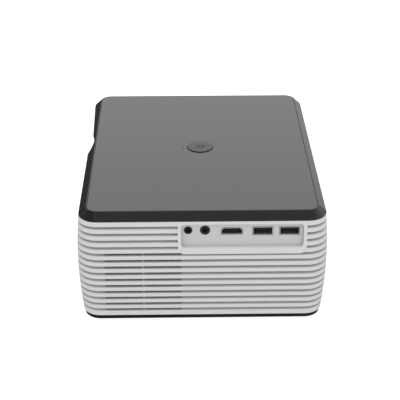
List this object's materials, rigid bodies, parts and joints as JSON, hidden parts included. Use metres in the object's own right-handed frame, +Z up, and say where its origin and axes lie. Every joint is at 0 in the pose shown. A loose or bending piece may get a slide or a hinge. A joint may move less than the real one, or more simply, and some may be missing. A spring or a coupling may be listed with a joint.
{
  "type": "projector with disc drive",
  "caption": "Portable box projector with a ribbed body, bevelled gloss lid, lens scoop, side sockets and a sliding disc tray.",
  "frame": {"origin": "on the table, under the middle of the case's bounding box", "axes": "+Z up, -X the lens side, -Y the socket side, +Y the side where the tray comes out"},
  "size_m": [0.1734, 0.221, 0.0866],
  "materials": {
    "body_white": "fine satin moulding",
    "lid_black": "high gloss",
    "plate_grey": "high gloss sheet",
    "base_black": "fine grain",
    "rubber": "matt",
    "screw_steel": "zinc plated",
    "bay_black": "high gloss",
    "ir_dark": "dark infrared window",
    "ring_black": "moulded with scallops",
    "inner_black": "matt",
    "symbol_light": "translucent",
    "board_green": "solder resist",
    "socket_metal": "stamped and plated",
    "socket_black": "moulded",
    "glass": "coated",
    "clear_sheet": "clear sheet",
    "panel_dark": "liquid crystal panel",
    "led_white": "coated metal board",
    "sink_alloy": "extruded",
    "fan_black": "moulded",
    "drive_steel": "pressed sheet",
    "tray_black": "moulded",
    "rod_steel": "ground",
    "cone_paper": "pressed pulp",
    "pin_metal": "plated"
  },
  "bodies": {
    "case": {"body_shell": "body_white", "lid_frame": "lid_black", "top_plate": "plate_grey", "base_cover": "base_black", "rubber_feet": "rubber", "case_screws": "screw_steel", "key_board": "board_green", "tact_switch": "socket_black", "status_light": "symbol_light", "port_panel": "body_white", "port_board": "board_green", "usb_shells": "socket_metal", "usb_tongues": "socket_black", "hdmi_shell": "socket_metal", "hdmi_tongue": "socket_black", "audio_jack": "socket_black", "video_jack": "socket_black", "lens_bay": "bay_black", "front_apron": "bay_black", "ir_window": "ir_dark", "lens_mount": "inner_black", "optical_box": "inner_black", "field_fresnel": "clear_sheet", "lcd_panel": "panel_dark", "rear_fresnel": "clear_sheet", "heat_glass": "clear_sheet", "condenser_lens": "glass", "led_module": "led_white", "heatsink": "sink_alloy", "exhaust_fan": "fan_black", "intake_fan": "fan_black", "main_board": "board_green", "power_board": "board_green", "ac_inlet": "socket_black", "ac_pins": "pin_metal", "speaker": "drive_steel", "speaker_cone": "cone_paper", "drive_chassis": "drive_steel", "drive_cover": "drive_steel", "drive_posts": "screw_steel"},
    "tray": {"disc_tray": "tray_black", "tray_bezel": "body_white", "traverse_plate": "drive_steel", "spindle_motor": "drive_steel", "guide_rods": "rod_steel", "sled_motor": "drive_steel"},
    "hub": {"spindle_hub": "tray_black"},
    "sled": {"pickup_sled": "tray_black"},
    "screw": {"lead_screw": "rod_steel"},
    "eject": {"eject_button": "body_white"},
    "rails": {"tray_rails": "drive_steel"},
    "button": {"power_button": "lid_black", "power_symbol": "symbol_light"},
    "ring": {"focus_ring": "ring_black"},
    "barrel": {"lens_barrel": "inner_black", "lens_elements": "glass"},
    "exhaust_wheel": {"exhaust_rotor": "fan_black"},
    "intake_wheel": {"intake_rotor": "fan_black"},
    "foot_clip": {"foot_stop_ring": "screw_steel"},
    "foot": {"adjust_foot": "inner_black"}
  },
  "joints": [
    {"name": "button_press", "type": "slide", "parent": "case", "child": "button", "axis": [0, 0, -1], "range_m": [0, 0.0008], "stiffness_N_per_m": 800},
    {"name": "focus_turn", "type": "hinge", "parent": "case", "child": "ring", "pos_m": [-0.075, 0.0165, 0.0475], "axis": [1, 0, 0], "range_deg": [0, 90]},
    {"name": "barrel_slide", "type": "slide", "parent": "case", "child": "barrel", "axis": [-1, 0, 0], "range_m": [0, 0.005]},
    {"name": "exhaust_spin", "type": "hinge", "parent": "case", "child": "exhaust_wheel", "pos_m": [0.0735, 0.0165, 0.037], "axis": [1, 0, 0], "continuous": true},
    {"name": "intake_spin", "type": "hinge", "parent": "case", "child": "intake_wheel", "pos_m": [-0.0412, -0.0997, 0.032], "axis": [0, 1, 0], "continuous": true},
    {"name": "tray_slide", "type": "slide", "parent": "case", "child": "tray", "axis": [0, 1, 0], "range_m": [0, 0.124]},
    {"name": "rail_slide", "type": "slide", "parent": "case", "child": "rails", "axis": [0, 1, 0], "range_m": [0, 0.062]},
    {"name": "disc_spin", "type": "hinge", "parent": "tray", "child": "hub", "pos_m": [0, 0.0445, 0.07], "axis": [0, 0, 1], "continuous": true},
    {"name": "screw_turn", "type": "hinge", "parent": "tray", "child": "screw", "pos_m": [0.0275, 0, 0.0683], "axis": [0, 1, 0], "range_deg": [0, 3601]},
    {"name": "sled_slide", "type": "slide", "parent": "tray", "child": "sled", "axis": [0, -1, 0], "range_m": [0, 0.03]},
    {"name": "eject_press", "type": "slide", "parent": "tray", "child": "eject", "axis": [0, -1, 0], "range_m": [0, 0.001], "stiffness_N_per_m": 500},
    {"name": "foot_slide", "type": "slide", "parent": "case", "child": "foot_clip", "axis": [0, 0, -1], "range_m": [0, 0.01]},
    {"name": "foot_turn", "type": "hinge", "parent": "foot_clip", "child": "foot", "pos_m": [-0.06, 0.0165, 0.01], "axis": [0, 0, 1], "range_deg": [0, 1801]}
  ],
  "couplings": [
    {"joint": "barrel_slide", "follows": "focus_turn", "m_per_rad": 0.00318},
    {"joint": "rail_slide", "follows": "tray_slide", "ratio": 0.5},
    {"joint": "screw_turn", "follows": "sled_slide", "rad_per_m": 2094.4},
    {"joint": "foot_turn", "follows": "foot_slide", "rad_per_m": 3141.6}
  ]
}
